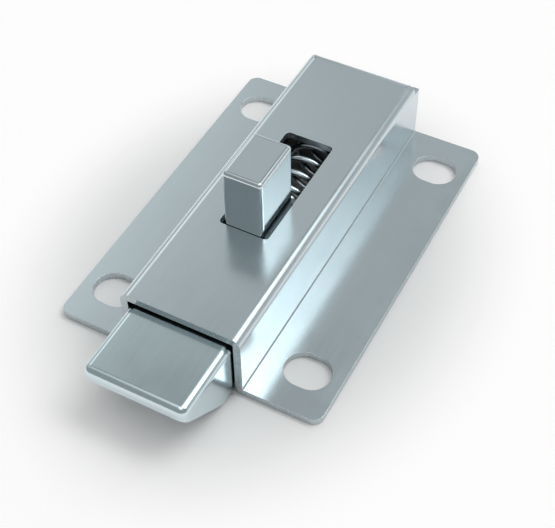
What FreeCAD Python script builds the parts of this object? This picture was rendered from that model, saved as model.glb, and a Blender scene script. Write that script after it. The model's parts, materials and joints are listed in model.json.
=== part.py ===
"""Slide bolt: a surface-mounted spring latch with a folded sheet housing.

The frame is +X right, +Y to the rear, +Z up, with its origin at the centre of the four fixing
slots on the mounting plane. The nose of the bolt points along -Y. All sizes are in millimetres.
"""
import FreeCAD, Part
import math
import os

import Sketcher

doc = FreeCAD.newDocument("slide_bolt")

# Driving dimensions, in millimetres
DIMENSIONS = {
    "sheet": 1.5,
    "bend_radius": 0.3,
    "edge_break": 0.15,
    "flange_length": 75.0,
    "flange_width": 54.0,
    "flange_corner": 2.0,
    "channel_width": 21.0,
    "housing_height": 15.0,
    "hole_side_margin": 6.75,
    "hole_end_margin": 9.0,
    "hole_length": 9.0,
    "hole_width": 7.5,
    "slot_width": 10.0,
    "slot_setback": 22.5,
    "slot_corner": 0.75,
    "flap_setback": 1.0,
    "flap_floor_gap": 1.0,
    "relief_width": 0.3,
    "relief_run": 0.3,
    "corner_setback": 2.0,
    "corner_drop": 2.0,
    "throw": 15.0,
    "stop_gap": 0.1,
    "side_clearance": 0.3,
    "top_clearance": 0.7,
    "floor_clearance": 0.9,
    "nose_proud": 0.3,
    "nose_face": 2.7,
    "bevel_length": 11.3,
    "bolt_corner": 1.62,
    "bolt_edge": 1.4,
    "bolt_tail": 1.4,
    "knob_width": 8.0,
    "knob_length": 11.8,
    "knob_height": 13.0,
    "knob_edge": 0.8,
    "pocket_depth": 1.5,
    "pocket_clearance": 0.05,
    "screw_diameter": 5.0,
    "screw_clearance": 0.15,
    "screw_head": 10.0,
    "screw_grip": 5.8,
    "screw_recess": 0.2,
    "thread_runout": 1.5,
    "socket_flats": 3.0,
    "socket_depth": 1.9,
    "spring_wire": 1.2,
    "spring_diameter": 10.2,
    "spring_pitch": 4.1,
    "spring_seat_gap": 0.03,
    "spigot_clearance": 0.3,
    "spigot_length": 3.0,
    "spigot_chamfer": 0.6,
    "rivet_shank": 4.0,
    "rivet_head": 6.5,
    "rivet_head_height": 0.9,
    "rivet_dome": 0.7,
}

sheet = doc.addObject("Spreadsheet::Sheet", "Sizes")
for row, (alias, value) in enumerate(DIMENSIONS.items(), start=1):
    sheet.set(f"A{row}", alias.replace("_", " "))
    sheet.set(f"B{row}", str(value))
    sheet.setAlias(f"B{row}", alias)
doc.recompute()

# Places that several pieces share, as expressions of the driving dimensions
REAR = "(Sizes.flange_length / 2)"
FRONT = "(-Sizes.flange_length / 2)"
TOP = "Sizes.housing_height"
CEILING = "(Sizes.housing_height - Sizes.sheet)"
INNER = "(Sizes.channel_width / 2)"
OUTER = "(Sizes.channel_width / 2 + Sizes.sheet)"
FOLD = "(Sizes.bend_radius + Sizes.sheet)"
FLAP_OUTER = f"({REAR} - Sizes.flap_setback)"
FLAP_INNER = f"({FLAP_OUTER} - Sizes.sheet)"
FLAP_START = f"({FLAP_OUTER} - {FOLD})"
FLAP_SIDE = f"({INNER} - Sizes.relief_width)"
CORNER_FLOOR = "(Sizes.housing_height - Sizes.corner_drop)"
HOLE_X = "(Sizes.flange_width / 2 - Sizes.hole_side_margin)"
HOLE_Y = "(Sizes.flange_length / 2 - Sizes.hole_end_margin)"
SLOT_FRONT = f"({FRONT} + Sizes.slot_setback)"
KNOB_FRONT = f"({SLOT_FRONT} + Sizes.stop_gap)"
KNOB_REAR = f"({KNOB_FRONT} + Sizes.knob_length)"
KNOB_CENTRE = f"({KNOB_FRONT} + Sizes.knob_length / 2)"
SLOT_REAR = f"({KNOB_REAR} + Sizes.throw + Sizes.stop_gap)"
NOSE = f"({FRONT} - Sizes.throw - Sizes.nose_proud)"
BOLT_REAR = f"({KNOB_REAR} + Sizes.bolt_tail)"
BOLT_TOP = f"({CEILING} - Sizes.top_clearance)"
BOLT_FLOOR = "Sizes.floor_clearance"
BOLT_SIDE = f"({INNER} - Sizes.side_clearance)"
POCKET_FLOOR = f"({BOLT_TOP} - Sizes.pocket_depth)"
SCREW_TOP = f"({BOLT_FLOOR} + Sizes.screw_recess)"
SCREW_TIP = f"({POCKET_FLOOR} + Sizes.screw_grip)"
SPRING_AXIS = f"(({BOLT_TOP} + {BOLT_FLOOR}) / 2)"
SPIGOT_RADIUS = "((Sizes.spring_diameter - Sizes.spring_wire) / 2 - Sizes.spigot_clearance)"


def make_body(label):
    """Adds an empty body with its own label."""
    body = doc.addObject("PartDesign::Body", label)
    body.Label = label
    return body


def sketch_on(body, name, role, shift=("0", "0", "0")):
    """Adds a sketch on one of the body's origin planes, shifted in the plane's own axes."""
    sketch = body.newObject("Sketcher::SketchObject", name)
    plane = next(item for item in body.Origin.OriginFeatures if item.Role == role)
    sketch.AttachmentSupport = [(plane, "")]
    sketch.MapMode = "FlatFace"
    for axis, expression in zip("xyz", shift):
        sketch.setExpression(f"AttachmentOffset.Base.{axis}", expression)
    return sketch


def place_point(sketch, element, point, x, y):
    """Holds a point of the sketch at the place that two expressions give."""
    drawn = sketch.getPoint(element, point)
    for kind, start, expression in (("DistanceX", drawn.x, x), ("DistanceY", drawn.y, y)):
        index = sketch.addConstraint(Sketcher.Constraint(kind, -1, 1, element, point, start))
        sketch.setExpression(f"Constraints[{index}]", expression)


def add_polygon(sketch, corners):
    """Adds a closed outline through corners given as pairs of expressions.

    The lines start on a circle, and the constraints take each corner to its place.
    """
    count = len(corners)
    turn = 2 * math.pi / count
    ring = [FreeCAD.Vector(math.cos(turn * i), math.sin(turn * i), 0) for i in range(count)]
    first = sketch.GeometryCount
    for i in range(count):
        sketch.addGeometry(Part.LineSegment(ring[i], ring[(i + 1) % count]), False)
    for i in range(count):
        following = first + (i + 1) % count
        sketch.addConstraint(Sketcher.Constraint("Coincident", first + i, 2, following, 1))
    for i, (x, y) in enumerate(corners):
        place_point(sketch, first + i, 1, x, y)


def add_rectangle(sketch, low, high):
    """Adds a rectangle from its low corner to its high corner, both pairs of expressions."""
    add_polygon(sketch, [low, (high[0], low[1]), high, (low[0], high[1])])


def add_circle(sketch, x, y, radius):
    """Adds a circle whose centre and radius are expressions."""
    circle = sketch.addGeometry(Part.Circle(FreeCAD.Vector(1, 1, 0), FreeCAD.Vector(0, 0, 1), 1), False)
    place_point(sketch, circle, 3, x, y)
    index = sketch.addConstraint(Sketcher.Constraint("Radius", circle, 1.0))
    sketch.setExpression(f"Constraints[{index}]", radius)


def add_oblong(sketch, side_x, side_y):
    """Adds one fixing slot with round ends, on the given side of each centre line."""
    radius = sheet.hole_width / 2
    reach = sheet.hole_length / 2 - radius
    x = side_x * (sheet.flange_width / 2 - sheet.hole_side_margin)
    y = side_y * (sheet.flange_length / 2 - sheet.hole_end_margin)
    centres = (FreeCAD.Vector(x + reach, y, 0), FreeCAD.Vector(x - reach, y, 0))
    rise = FreeCAD.Vector(0, radius, 0)
    up = FreeCAD.Vector(0, 0, 1)
    spans = ((-math.pi / 2, math.pi / 2), (math.pi / 2, 3 * math.pi / 2))
    right, left = [
        sketch.addGeometry(Part.ArcOfCircle(Part.Circle(centre, up, radius), *span), False)
        for centre, span in zip(centres, spans)
    ]
    upper = sketch.addGeometry(Part.LineSegment(centres[0] + rise, centres[1] + rise), False)
    lower = sketch.addGeometry(Part.LineSegment(centres[1] - rise, centres[0] - rise), False)
    for joint in ((right, 2, upper, 1), (upper, 2, left, 1), (left, 2, lower, 1), (lower, 2, right, 1)):
        sketch.addConstraint(Sketcher.Constraint("Tangent", *joint))
    sketch.addConstraint(Sketcher.Constraint("Equal", right, left))
    sketch.addConstraint(Sketcher.Constraint("Horizontal", upper))
    size = sketch.addConstraint(Sketcher.Constraint("Radius", right, radius))
    sketch.setExpression(f"Constraints[{size}]", "Sizes.hole_width / 2")
    half_run = "(Sizes.hole_length - Sizes.hole_width) / 2"
    place_point(sketch, right, 3, f"{side_x} * {HOLE_X} + {half_run}", f"{side_y} * {HOLE_Y}")
    offset = sketch.addConstraint(Sketcher.Constraint("DistanceX", left, 3, right, 3, 2 * reach))
    sketch.setExpression(f"Constraints[{offset}]", f"2 * {half_run}")


def pad(body, name, sketch, length, symmetric=False, backwards=False):
    """Adds material from a sketch and returns the feature."""
    feature = body.newObject("PartDesign::Pad", name)
    feature.Profile = sketch
    feature.setExpression("Length", length)
    feature.Midplane = symmetric
    feature.Reversed = backwards
    sketch.Visibility = False
    doc.recompute()
    return feature


def cut(body, kind, name, sketch, settings):
    """Removes material with a pocket or a groove, turned round if it misses the solid."""
    before = body.Shape.Volume
    feature = body.newObject(kind, name)
    feature.Profile = sketch
    for key, setting in settings.items():
        if isinstance(setting, str) and "Sizes" in setting:
            feature.setExpression(key, setting)
        else:
            setattr(feature, key, setting)
    sketch.Visibility = False
    doc.recompute()
    if body.Shape.Volume > before - 1e-3:
        feature.Reversed = not feature.Reversed
        doc.recompute()
    if body.Shape.Volume > before - 1e-3:
        raise RuntimeError(f"{body.Label}: {name} removed nothing")
    return feature


def revolve(body, name, sketch, axis):
    """Adds material by turning a sketch about one of its own axes."""
    feature = body.newObject("PartDesign::Revolution", name)
    feature.Profile = sketch
    feature.ReferenceAxis = (sketch, [axis])
    feature.Angle = 360
    sketch.Visibility = False
    doc.recompute()
    return feature


def dress(body, kind, name, size_key, size, wanted):
    """Rounds or chamfers the edges of the body's tip that the wanted test picks."""
    base = body.Tip
    picked = [
        f"Edge{number}"
        for number, edge in enumerate(base.Shape.Edges, start=1)
        if wanted(edge)
    ]
    if not picked:
        raise RuntimeError(f"{body.Label}: {name} found no edge")
    feature = body.newObject(kind, name)
    feature.Base = (base, picked)
    feature.setExpression(size_key, size)
    doc.recompute()
    return feature


def near(value, target):
    """True where two lengths agree to a few micrometres."""
    return abs(value - target) < 5e-3


def ends(edge):
    """The two end points of an edge, the same point twice on a closed one."""
    return edge.Vertexes[0].Point, edge.Vertexes[-1].Point


def runs_along(edge, axis):
    """True for a straight edge that is parallel to the axis with this index."""
    if not isinstance(edge.Curve, Part.Line):
        return False
    start, end = ends(edge)
    return all(near(start[i], end[i]) for i in range(3) if i != axis)


def lies_at(edge, axis, place):
    """True where all of an edge lies at one place along the axis with this index."""
    box = edge.BoundBox
    low = (box.XMin, box.YMin, box.ZMin)[axis]
    high = (box.XMax, box.YMax, box.ZMax)[axis]
    return near(low, place) and near(high, place)


def is_sharp(edge, shape):
    """True where the two faces at an edge meet at a clear angle."""
    faces = shape.ancestorsOfType(edge, Part.Face)
    if len(faces) < 2:
        return False
    middle = edge.valueAt((edge.FirstParameter + edge.LastParameter) / 2)
    normals = [face.normalAt(*face.Surface.parameter(middle)) for face in faces[:2]]
    return abs(normals[0].dot(normals[1])) < 0.9


def build_housing():
    """One folded sheet: hat section, fixing slots, operating slot and the flap at its rear."""
    body = make_body("housing")
    flange = "Sizes.flange_width / 2"
    profile = sketch_on(body, "hat_section", "XZ_Plane")
    half = [
        (INNER, "0"), (flange, "0"), (flange, "Sizes.sheet"), (OUTER, "Sizes.sheet"), (OUTER, TOP),
    ]
    inside = [(INNER, CEILING)]
    mirror = [(f"-({x})", y) for x, y in reversed(half)]
    add_polygon(profile, half + mirror + [(f"-({x})", y) for x, y in inside] + inside)
    pad(body, "hat_pad", profile, "Sizes.flange_length", symmetric=True)

    fold = sheet.bend_radius + sheet.sheet
    inner = sheet.channel_width / 2
    outer = inner + sheet.sheet
    top = sheet.housing_height

    def at_fold(edge, x, z):
        return runs_along(edge, 1) and near(abs(ends(edge)[0].x), x) and near(ends(edge)[0].z, z)

    dress(body, "PartDesign::Fillet", "outer_folds", "Radius", FOLD,
          lambda edge: at_fold(edge, outer, top) or at_fold(edge, inner, 0.0))
    dress(body, "PartDesign::Fillet", "inner_folds", "Radius", "Sizes.bend_radius",
          lambda edge: at_fold(edge, inner, top - sheet.sheet) or at_fold(edge, outer, sheet.sheet))

    corners = sketch_on(body, "rear_corners", "YZ_Plane")
    over = f"({TOP} + Sizes.sheet)"
    add_rectangle(corners, (f"({REAR} - Sizes.corner_setback)", CORNER_FLOOR),
                  (f"({REAR} + Sizes.sheet)", over))
    cut(body, "PartDesign::Pocket", "rear_corner_cut", corners,
        {"Type": "ThroughAll", "Midplane": True})

    web = sketch_on(body, "web_end", "XY_Plane", ("0", "0", CORNER_FLOOR))
    relief = f"({FLAP_START} - Sizes.relief_run)"
    behind = f"({REAR} + Sizes.sheet)"
    add_polygon(web, [
        (f"-{INNER}", relief), (f"-{FLAP_SIDE}", relief), (f"-{FLAP_SIDE}", FLAP_START),
        (FLAP_SIDE, FLAP_START), (FLAP_SIDE, relief), (INNER, relief),
        (INNER, behind), (f"-{INNER}", behind),
    ])
    cut(body, "PartDesign::Pocket", "web_cut", web, {"Length": "2 * Sizes.sheet + Sizes.bend_radius"})

    flap = sketch_on(body, "flap_section", "YZ_Plane")
    add_polygon(flap, [
        (FLAP_START, TOP), (FLAP_START, CEILING), (FLAP_INNER, CEILING),
        (FLAP_INNER, "Sizes.flap_floor_gap"), (FLAP_OUTER, "Sizes.flap_floor_gap"), (FLAP_OUTER, TOP),
    ])
    pad(body, "flap_pad", flap, f"2 * {FLAP_SIDE}", symmetric=True)

    flap_outer = sheet.flange_length / 2 - sheet.flap_setback

    def at_flap_bend(edge, y, z):
        return runs_along(edge, 0) and near(ends(edge)[0].y, y) and near(ends(edge)[0].z, z)

    dress(body, "PartDesign::Fillet", "flap_outer_bend", "Radius", FOLD,
          lambda edge: at_flap_bend(edge, flap_outer, top))
    dress(body, "PartDesign::Fillet", "flap_inner_bend", "Radius", "Sizes.bend_radius",
          lambda edge: at_flap_bend(edge, flap_outer - sheet.sheet, top - sheet.sheet))

    hole = sketch_on(body, "stud_hole", "XZ_Plane")
    add_circle(hole, "0", SPRING_AXIS, "Sizes.rivet_shank / 2")
    cut(body, "PartDesign::Pocket", "stud_hole_cut", hole, {"Type": "ThroughAll", "Midplane": True})

    slot = sketch_on(body, "operating_slot", "XY_Plane")
    add_rectangle(slot, ("-Sizes.slot_width / 2", SLOT_FRONT), ("Sizes.slot_width / 2", SLOT_REAR))
    cut(body, "PartDesign::Pocket", "slot_cut", slot, {"Type": "ThroughAll", "Midplane": True})
    dress(body, "PartDesign::Fillet", "slot_corners", "Radius", "Sizes.slot_corner",
          lambda edge: runs_along(edge, 2) and near(abs(ends(edge)[0].x), sheet.slot_width / 2)
          and edge.BoundBox.ZMin > top - fold)

    oblongs = sketch_on(body, "fixing_slots", "XY_Plane")
    for side_x in (-1, 1):
        for side_y in (-1, 1):
            add_oblong(oblongs, side_x, side_y)
    cut(body, "PartDesign::Pocket", "fixing_slot_cut", oblongs, {"Type": "ThroughAll", "Midplane": True})

    dress(body, "PartDesign::Fillet", "flange_corners", "Radius", "Sizes.flange_corner",
          lambda edge: runs_along(edge, 2) and near(abs(ends(edge)[0].x), sheet.flange_width / 2))

    flat = body.Tip.Shape
    flap_start = flap_outer - fold - sheet.relief_run

    def may_be_broken(edge):
        box = edge.BoundBox
        at_rear_end = box.YMax > flap_start - 1e-3 and box.XMax < outer + fold and box.XMin > -outer - fold
        return is_sharp(edge, flat) and not (at_rear_end and box.ZMax > sheet.sheet + sheet.bend_radius)

    dress(body, "PartDesign::Fillet", "broken_edges", "Radius", "Sizes.edge_break", may_be_broken)
    return body


def build_bolt():
    """The sliding bar: bevelled nose, rounded top, pocket and screw hole, spigot for the spring."""
    body = make_body("bolt")
    side = sketch_on(body, "side_outline", "YZ_Plane")
    add_polygon(side, [
        (NOSE, BOLT_TOP), (NOSE, f"({BOLT_TOP} - Sizes.nose_face)"),
        (f"({NOSE} + Sizes.bevel_length)", BOLT_FLOOR), (BOLT_REAR, BOLT_FLOOR), (BOLT_REAR, BOLT_TOP),
    ])
    pad(body, "bar", side, f"2 * {BOLT_SIDE}", symmetric=True)

    nose = -sheet.flange_length / 2 - sheet.throw - sheet.nose_proud
    bolt_side = sheet.channel_width / 2 - sheet.side_clearance
    bolt_top = sheet.housing_height - sheet.sheet - sheet.top_clearance
    dress(body, "PartDesign::Fillet", "nose_corners", "Radius", "Sizes.bolt_corner",
          lambda edge: runs_along(edge, 2) and near(ends(edge)[0].y, nose))

    def on_top_rim(edge):
        if not lies_at(edge, 2, bolt_top):
            return False
        return edge.BoundBox.YMin < nose + 2 * sheet.bolt_corner or runs_along(edge, 1)

    dress(body, "PartDesign::Fillet", "top_edges", "Radius", "Sizes.bolt_edge", on_top_rim)
    rounded = body.Tip.Shape
    dress(body, "PartDesign::Fillet", "broken_edges", "Radius", "Sizes.edge_break",
          lambda edge: is_sharp(edge, rounded))

    spigot = sketch_on(body, "spigot_circle", "XZ_Plane", ("0", "0", f"-{BOLT_REAR}"))
    add_circle(spigot, "0", SPRING_AXIS, SPIGOT_RADIUS)
    pad(body, "spigot", spigot, "Sizes.spigot_length", backwards=True)
    rear = sheet.slot_setback + sheet.stop_gap + sheet.knob_length + sheet.bolt_tail
    spigot_end = rear - sheet.flange_length / 2 + sheet.spigot_length
    dress(body, "PartDesign::Chamfer", "spigot_chamfer", "Size", "Sizes.spigot_chamfer",
          lambda edge: lies_at(edge, 1, spigot_end))

    pocket = sketch_on(body, "knob_pocket", "XY_Plane", ("0", "0", BOLT_TOP))
    half_width = "(Sizes.knob_width / 2 + Sizes.pocket_clearance)"
    add_rectangle(pocket, (f"-{half_width}", f"({KNOB_FRONT} - Sizes.pocket_clearance)"),
                  (half_width, f"({KNOB_REAR} + Sizes.pocket_clearance)"))
    cut(body, "PartDesign::Pocket", "knob_pocket_cut", pocket, {"Length": "Sizes.pocket_depth"})

    screw = sketch_on(body, "screw_hole", "XZ_Plane", ("0", "0", f"-{KNOB_CENTRE}"))
    hole = "(Sizes.screw_diameter / 2 + Sizes.screw_clearance)"
    head = "(Sizes.screw_head / 2)"
    add_polygon(screw, [
        ("0", BOLT_FLOOR), (head, BOLT_FLOOR), (head, SCREW_TOP),
        (hole, f"({SCREW_TOP} + {head} - {hole})"), (hole, BOLT_TOP), ("0", BOLT_TOP),
    ])
    cut(body, "PartDesign::Groove", "screw_hole_cut", screw,
        {"ReferenceAxis": (screw, ["V_Axis"]), "Angle": 360})
    return body


def build_knob():
    """The thumb piece: a rectangular post with rounded edges and a tapped hole in its foot."""
    body = make_body("knob")
    foot = sketch_on(body, "post_outline", "XY_Plane", ("0", "0", POCKET_FLOOR))
    add_rectangle(foot, ("-Sizes.knob_width / 2", KNOB_FRONT), ("Sizes.knob_width / 2", KNOB_REAR))
    pad(body, "post", foot, f"{TOP} + Sizes.knob_height - {POCKET_FLOOR}")
    crown = sheet.housing_height + sheet.knob_height
    dress(body, "PartDesign::Fillet", "post_edges", "Radius", "Sizes.knob_edge",
          lambda edge: runs_along(edge, 2) or lies_at(edge, 2, crown))
    tapped = sketch_on(body, "tapped_hole", "XY_Plane", ("0", "0", POCKET_FLOOR))
    add_circle(tapped, "0", KNOB_CENTRE, "Sizes.screw_diameter / 2")
    cut(body, "PartDesign::Pocket", "tapped_hole_cut", tapped,
        {"Length": f"{SCREW_TIP} + Sizes.thread_runout - {POCKET_FLOOR}", "Reversed": True})
    return body


def build_knob_screw():
    """Countersunk socket screw that holds the knob from below."""
    body = make_body("knob_screw")
    half = sketch_on(body, "screw_outline", "XZ_Plane", ("0", "0", f"-{KNOB_CENTRE}"))
    radius = "(Sizes.screw_diameter / 2)"
    head = "(Sizes.screw_head / 2)"
    add_polygon(half, [
        ("0", SCREW_TOP), (head, SCREW_TOP), (radius, f"({SCREW_TOP} + {head} - {radius})"),
        (radius, f"({SCREW_TIP} - Sizes.thread_runout / 2)"),
        (f"({radius} - Sizes.thread_runout / 2)", SCREW_TIP), ("0", SCREW_TIP),
    ])
    revolve(body, "screw_turned", half, "V_Axis")
    socket = sketch_on(body, "hexagon", "XY_Plane", ("0", KNOB_CENTRE, SCREW_TOP))
    across = "Sizes.socket_flats / sqrt(3)"
    add_polygon(socket, [(f"{across} * cos({60 * k})", f"{across} * sin({60 * k})") for k in range(6)])
    cut(body, "PartDesign::Pocket", "hexagon_cut", socket,
        {"Length": "Sizes.socket_depth", "Reversed": True})
    return body


def build_spring_stud():
    """Riveted stud on the flap that keeps the rear end of the spring centred."""
    body = make_body("spring_stud")
    half = sketch_on(body, "stud_outline", "YZ_Plane", ("0", SPRING_AXIS, "0"))
    shank = "Sizes.rivet_shank / 2"
    head = "Sizes.rivet_head / 2"
    head_end = f"({FLAP_OUTER} + Sizes.rivet_head_height)"
    tip = f"({FLAP_INNER} - Sizes.spigot_length)"
    add_polygon(half, [
        (tip, "0"), (tip, f"({SPIGOT_RADIUS} - Sizes.spigot_chamfer)"),
        (f"({tip} + Sizes.spigot_chamfer)", SPIGOT_RADIUS), (FLAP_INNER, SPIGOT_RADIUS),
        (FLAP_INNER, shank), (FLAP_OUTER, shank), (FLAP_OUTER, head), (head_end, head), (head_end, "0"),
    ])
    revolve(body, "stud_turned", half, "H_Axis")
    back = sheet.flange_length / 2 - sheet.flap_setback + sheet.rivet_head_height
    dress(body, "PartDesign::Fillet", "head_dome", "Radius", "Sizes.rivet_dome",
          lambda edge: lies_at(edge, 1, back))
    return body


def build_spring():
    """Right-hand compression spring with a closed coil at each end, swept along its own curve."""
    wire = sheet.spring_wire
    radius = sheet.spring_diameter / 2
    knob_rear = sheet.slot_setback + sheet.stop_gap + sheet.knob_length - sheet.flange_length / 2
    start = knob_rear + sheet.bolt_tail + wire / 2 + sheet.spring_seat_gap
    end = sheet.flange_length / 2 - sheet.flap_setback - sheet.sheet - wire / 2 - sheet.spring_seat_gap
    bolt_top = sheet.housing_height - sheet.sheet - sheet.top_clearance
    axis_height = (bolt_top + sheet.floor_clearance) / 2
    closed_pitch = wire + sheet.spring_seat_gap
    closed = 1.0
    active = (end - start - 2 * closed * closed_pitch) / sheet.spring_pitch
    turns = active + 2 * closed
    blend = 0.25
    steps_per_turn = 16

    def pitch_at(turn):
        inward = min(turn, turns - turn)
        share = min(max((inward - closed + blend) / (2 * blend), 0.0), 1.0)
        eased = share * share * (3 - 2 * share)
        return closed_pitch + (sheet.spring_pitch - closed_pitch) * eased

    steps = math.ceil(turns * steps_per_turn)
    run = turns / steps
    places = [0.0]
    for i in range(steps):
        places.append(places[-1] + pitch_at((i + 0.5) * run) * run)
    stretch = (end - start) / places[-1]
    points = []
    for i, place in enumerate(places):
        angle = 2 * math.pi * (i * run - 0.25)
        points.append(FreeCAD.Vector(
            radius * math.sin(angle), start + place * stretch, axis_height + radius * math.cos(angle)))
    curve = Part.BSplineCurve()
    curve.interpolate(points)
    path = Part.Wire([curve.toShape()])
    direction = curve.tangent(curve.FirstParameter)[0]
    section = Part.Wire([Part.makeCircle(wire / 2, points[0], direction)])
    feature = doc.addObject("Part::Feature", "spring")
    feature.Label = "spring"
    feature.Shape = path.makePipeShell([section], True, True)
    feature.Placement = FreeCAD.Placement()
    expected = math.pi * (wire / 2) ** 2 * curve.length()
    if abs(feature.Shape.Volume - expected) > 0.02 * expected:
        raise RuntimeError("the spring's volume is not that of its wire")
    return feature


parts = [
    build_housing(),
    build_bolt(),
    build_knob(),
    build_knob_screw(),
    build_spring(),
    build_spring_stud(),
]
doc.recompute()

for item in doc.Objects:
    if "Invalid" in item.State or "Error" in item.State:
        raise RuntimeError(f"{item.Label} did not compute")
for part in parts:
    if part.Shape.isNull() or not part.Shape.isValid() or len(part.Shape.Solids) != 1:
        raise RuntimeError(f"{part.Label} is not one valid solid")

os.makedirs("parts", exist_ok=True)
for part in parts:
    part.Shape.exportStep(f"parts/{part.Label}.step")
    print(part.Label, round(part.Shape.Volume, 3), part.Shape.BoundBox)
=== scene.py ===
"""Dresses the slide bolt: a steel bar latch in a folded sheet housing, on a pale studio floor.

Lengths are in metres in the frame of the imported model: +X to the right, +Y to the rear, +Z up, with the
origin at the centre of the four fixing slots on the mounting plane. The nose of the bolt points along -Y.
"""
from __future__ import annotations

import json
import logging
import math
from abc import ABC, abstractmethod
from dataclasses import dataclass
from enum import Enum

import bpy
import numpy as np
from mathutils import Matrix, Vector

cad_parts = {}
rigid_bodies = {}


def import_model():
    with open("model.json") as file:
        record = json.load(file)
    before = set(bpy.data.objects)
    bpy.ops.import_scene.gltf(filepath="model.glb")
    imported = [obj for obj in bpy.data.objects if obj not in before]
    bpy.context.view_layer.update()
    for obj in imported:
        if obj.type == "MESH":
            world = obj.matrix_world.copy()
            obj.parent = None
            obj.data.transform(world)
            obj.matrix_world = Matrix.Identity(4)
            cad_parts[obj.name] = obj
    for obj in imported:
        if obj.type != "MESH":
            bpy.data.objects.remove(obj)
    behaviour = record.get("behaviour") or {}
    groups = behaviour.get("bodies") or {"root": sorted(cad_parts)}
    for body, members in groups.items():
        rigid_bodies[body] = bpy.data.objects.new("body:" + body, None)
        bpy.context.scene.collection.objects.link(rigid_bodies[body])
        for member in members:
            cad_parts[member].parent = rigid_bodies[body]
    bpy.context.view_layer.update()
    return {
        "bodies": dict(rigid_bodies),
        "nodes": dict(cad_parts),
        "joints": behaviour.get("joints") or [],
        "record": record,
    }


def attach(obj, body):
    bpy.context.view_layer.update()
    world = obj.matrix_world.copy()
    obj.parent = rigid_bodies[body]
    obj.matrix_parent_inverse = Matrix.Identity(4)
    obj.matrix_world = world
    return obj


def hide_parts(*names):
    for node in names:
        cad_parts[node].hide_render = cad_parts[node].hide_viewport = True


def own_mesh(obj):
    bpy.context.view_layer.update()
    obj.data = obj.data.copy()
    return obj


log = logging.getLogger("slide_bolt")

MM = 0.001
TINY = 1e-12
# Metres within which doubled points of a mesh are merged, and the same for a profile, in its own unit.
MERGE_DISTANCE = 1e-7
SAME_POINT = 1e-9
# Decimals of a millimetre kept in the blank's grid lines, and a little more than rounding can move a line.
LINE_PLACES = 4
LINE_ROUNDING = 6e-5

Socket = bpy.types.NodeSocket
Tree = bpy.types.NodeTree
Pair = tuple[float, float]
Triple = tuple[float, float, float]


def unit(vector: np.ndarray) -> np.ndarray:
    """Scales each vector along the last axis to length one.

    Args:
        vector: array whose last axis holds the components.

    Returns:
        The same directions with length one.
    """
    return vector / np.maximum(np.linalg.norm(vector, axis=-1, keepdims=True), TINY)


def within(values: np.ndarray, low: float, high: float) -> np.ndarray:
    """True for the values that lie between the two limits."""
    return (values > low) & (values < high)


def circle(steps: int) -> tuple[np.ndarray, np.ndarray, np.ndarray]:
    """Gives the angles of even steps round a circle, and their cosines and sines."""
    turn = np.linspace(0, 2 * math.pi, steps, endpoint=False)
    return turn, np.cos(turn), np.sin(turn)


def grid_quads(rows: int, columns: int, close_columns: bool = False) -> np.ndarray:
    """Numbers the four corners of each cell of a grid of points stored row by row.

    Args:
        rows: number of rows of points.
        columns: number of points in a row.
        close_columns: whether the last column joins the first.

    Returns:
        An array of quads, one row of four point numbers for each cell.
    """
    row = np.arange(rows - 1)[:, None] * columns
    column = np.arange(columns if close_columns else columns - 1)[None, :]
    after = (column + 1) % columns
    quads = np.stack([row + column, row + after, row + columns + after, row + columns + column], axis=-1)
    return quads.reshape(-1, 4)


def face_outwards(points: np.ndarray, quads: np.ndarray) -> np.ndarray:
    """Turns the faces of a closed surface round if they point inwards.

    The signed volume is a sixth of the sum of a . (b x c) over the two triangles of each quad.

    Args:
        points: array of positions.
        quads: array of quads that all point the same way.

    Returns:
        The quads, reversed where the volume came out negative.
    """
    a, b, c, d = (points[quads[:, corner]] for corner in range(4))
    volume = np.sum(a * np.cross(b, c)) + np.sum(a * np.cross(c, d))
    return quads if volume > 0 else quads[:, ::-1]


def broad_normals(points: np.ndarray, quads: np.ndarray) -> np.ndarray:
    """Works out normals that follow the broad faces, so that a narrow rounding doesn't shade its neighbours.

    A point's normal is the sum over its faces of n times area squared, where the cross product of a quad's
    diagonals gives twice its area along n. The squares are taken in millimetres, to stay well above TINY.

    Args:
        points: array of positions.
        quads: array of quads.

    Returns:
        One normal for each point.
    """
    across = np.cross(points[quads[:, 2]] - points[quads[:, 0]], points[quads[:, 3]] - points[quads[:, 1]])
    weighted = across * np.linalg.norm(across, axis=1, keepdims=True) / MM**4
    sums = np.zeros_like(points)
    np.add.at(sums, quads.ravel(), np.repeat(weighted, 4, axis=0))
    return unit(sums)


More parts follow.
